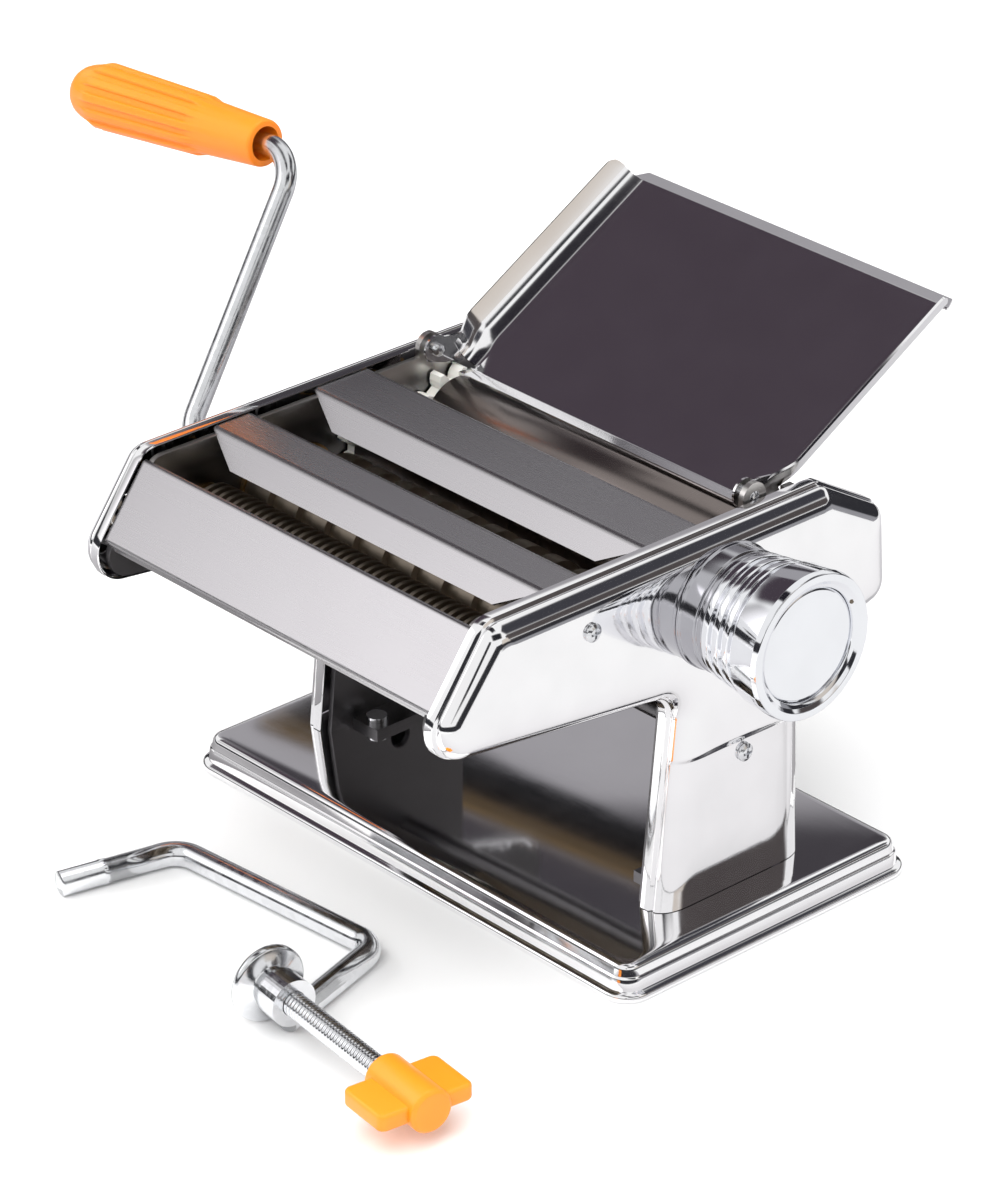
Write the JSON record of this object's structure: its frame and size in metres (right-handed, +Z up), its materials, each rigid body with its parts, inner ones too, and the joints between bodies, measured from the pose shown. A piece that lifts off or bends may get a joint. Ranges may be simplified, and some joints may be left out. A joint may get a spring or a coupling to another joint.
{
  "type": "pasta roller machine",
  "caption": "Table-top pasta machine with cutter and smooth roller pairs, thickness knob, tilting dough tray, cranked handle and screw table clamp.",
  "frame": {"origin": "middle of the base on the table", "axes": "+X along the rollers to the knob side, -Y to the front cutters, +Z up"},
  "size_m": [0.3384, 0.2769, 0.2018],
  "materials": {
    "polished_steel": "polished pressed sheet",
    "satin_steel": "satin folded sheet",
    "plain_steel": "plain mild steel",
    "bush_bronze": "sintered bronze",
    "white_nylon": "natural nylon",
    "orange_plastic": "moulded orange plastic",
    "zinc_plate": "bright zinc plate",
    "tray_steel": "polished folded sheet",
    "comb_plastic": "food safe plastic strip",
    "knob_chrome": "chromed plastic",
    "roller_steel": "ground steel"
  },
  "bodies": {
    "housing": {"base_plate": "polished_steel", "left_frame_plate": "plain_steel", "right_frame_plate": "plain_steel", "left_side_cover": "polished_steel", "right_side_cover": "polished_steel", "front_panel": "satin_steel", "middle_cover": "satin_steel", "rear_cover": "satin_steel", "tie_rods": "plain_steel", "cover_screws": "polished_steel", "foot_screws": "zinc_plate", "roller_bushes": "bush_bronze", "regulator_bushes": "bush_bronze", "cutter_bushes": "bush_bronze", "spaghetti_combs": "comb_plastic", "fettuccine_combs": "comb_plastic", "roller_scrapers": "comb_plastic", "regulator_collar": "knob_chrome", "tray_pins": "zinc_plate"},
    "rear_roll": {"rear_roller": "roller_steel", "rear_roller_gear": "white_nylon"},
    "regulator": {"regulator_shaft": "plain_steel", "knob_screw": "zinc_plate"},
    "knob": {"regulator_knob": "knob_chrome", "knob_cap": "knob_chrome", "knob_index_pin": "zinc_plate", "knob_spring": "plain_steel"},
    "nylon_sleeves": {"front_roller_bushes": "white_nylon"},
    "front_roll": {"front_roller": "roller_steel", "front_roller_gear": "white_nylon"},
    "spaghetti_front": {"spaghetti_front_cutter": "roller_steel", "spaghetti_front_gear": "plain_steel"},
    "spaghetti_rear": {"spaghetti_rear_cutter": "roller_steel", "spaghetti_rear_gear": "plain_steel"},
    "crank": {"fettuccine_front_cutter": "roller_steel", "fettuccine_front_gear": "plain_steel", "crank_rod": "zinc_plate", "grip_retainer": "zinc_plate"},
    "fettuccine_rear": {"fettuccine_rear_cutter": "roller_steel", "fettuccine_rear_gear": "plain_steel"},
    "grip": {"crank_grip": "orange_plastic"},
    "tray": {"dough_tray": "tray_steel"},
    "clamp": {"clamp_rod": "zinc_plate"},
    "pad": {"clamp_pad": "zinc_plate"},
    "clamp_screw_group": {"clamp_screw": "zinc_plate", "clamp_wing_nut": "orange_plastic"}
  },
  "joints": [
    {"name": "crank_turn", "type": "hinge", "parent": "housing", "child": "crank", "pos_m": [-0.08, -0.0552, 0.109], "axis": [1, 0, 0], "continuous": true},
    {"name": "fettuccine_rear_turn", "type": "hinge", "parent": "housing", "child": "fettuccine_rear", "pos_m": [-0.078, -0.0362, 0.109], "axis": [1, 0, 0], "continuous": true},
    {"name": "grip_spin", "type": "hinge", "parent": "crank", "child": "grip", "pos_m": [-0.1106, -0.00545, 0.19517], "axis": [-0.9962, -0.0436, -0.0755], "continuous": true},
    {"name": "spaghetti_turn", "type": "hinge", "parent": "housing", "child": "spaghetti_front", "pos_m": [-0.08, -0.0975, 0.109], "axis": [1, 0, 0], "continuous": true},
    {"name": "spaghetti_rear_turn", "type": "hinge", "parent": "housing", "child": "spaghetti_rear", "pos_m": [-0.078, -0.0785, 0.109], "axis": [1, 0, 0], "continuous": true},
    {"name": "roller_turn", "type": "hinge", "parent": "housing", "child": "rear_roll", "pos_m": [0, 0.0205, 0.1117], "axis": [1, 0, 0], "continuous": true},
    {"name": "regulator_turn", "type": "hinge", "parent": "housing", "child": "regulator", "pos_m": [0.09, -0.008, 0.1117], "axis": [-1, 0, 0], "range_deg": [0, 180]},
    {"name": "sleeve_turn", "type": "hinge", "parent": "regulator", "child": "nylon_sleeves", "pos_m": [0, -0.00925, 0.1117], "axis": [-1, 0, 0], "range_deg": [-180, 0]},
    {"name": "front_roller_turn", "type": "hinge", "parent": "nylon_sleeves", "child": "front_roll", "pos_m": [0, -0.00925, 0.1117], "axis": [1, 0, 0], "continuous": true},
    {"name": "knob_pull", "type": "slide", "parent": "regulator", "child": "knob", "axis": [1, 0, 0], "range_m": [0, 0.006], "stiffness_N_per_m": 800, "springref_m": -0.004, "deforming": ["knob_spring"]},
    {"name": "tray_swing", "type": "hinge", "parent": "housing", "child": "tray", "pos_m": [0, 0.0157, 0.135], "axis": [1, 0, 0], "range_deg": [0, 60]},
    {"name": "clamp_slide", "type": "slide", "parent": "housing", "child": "clamp", "axis": [0, -1, 0], "range_m": [0, 0.12]},
    {"name": "pad_slide", "type": "slide", "parent": "clamp", "child": "pad", "axis": [-0.9925, 0.1219, 0], "range_m": [0, 0.04]},
    {"name": "clamp_screw_turn", "type": "hinge", "parent": "pad", "child": "clamp_screw_group", "pos_m": [0.0352, -0.1441, 0.0126], "axis": [-0.9925, 0.1219, 0], "range_deg": [0, 9600]}
  ],
  "couplings": [
    {"joint": "fettuccine_rear_turn", "follows": "crank_turn", "ratio": -1},
    {"joint": "spaghetti_rear_turn", "follows": "spaghetti_turn", "ratio": -1},
    {"joint": "front_roller_turn", "follows": "roller_turn", "ratio": -1},
    {"joint": "sleeve_turn", "follows": "regulator_turn", "ratio": -1},
    {"joint": "clamp_screw_turn", "follows": "pad_slide", "rad_per_m": 4188.8}
  ]
}
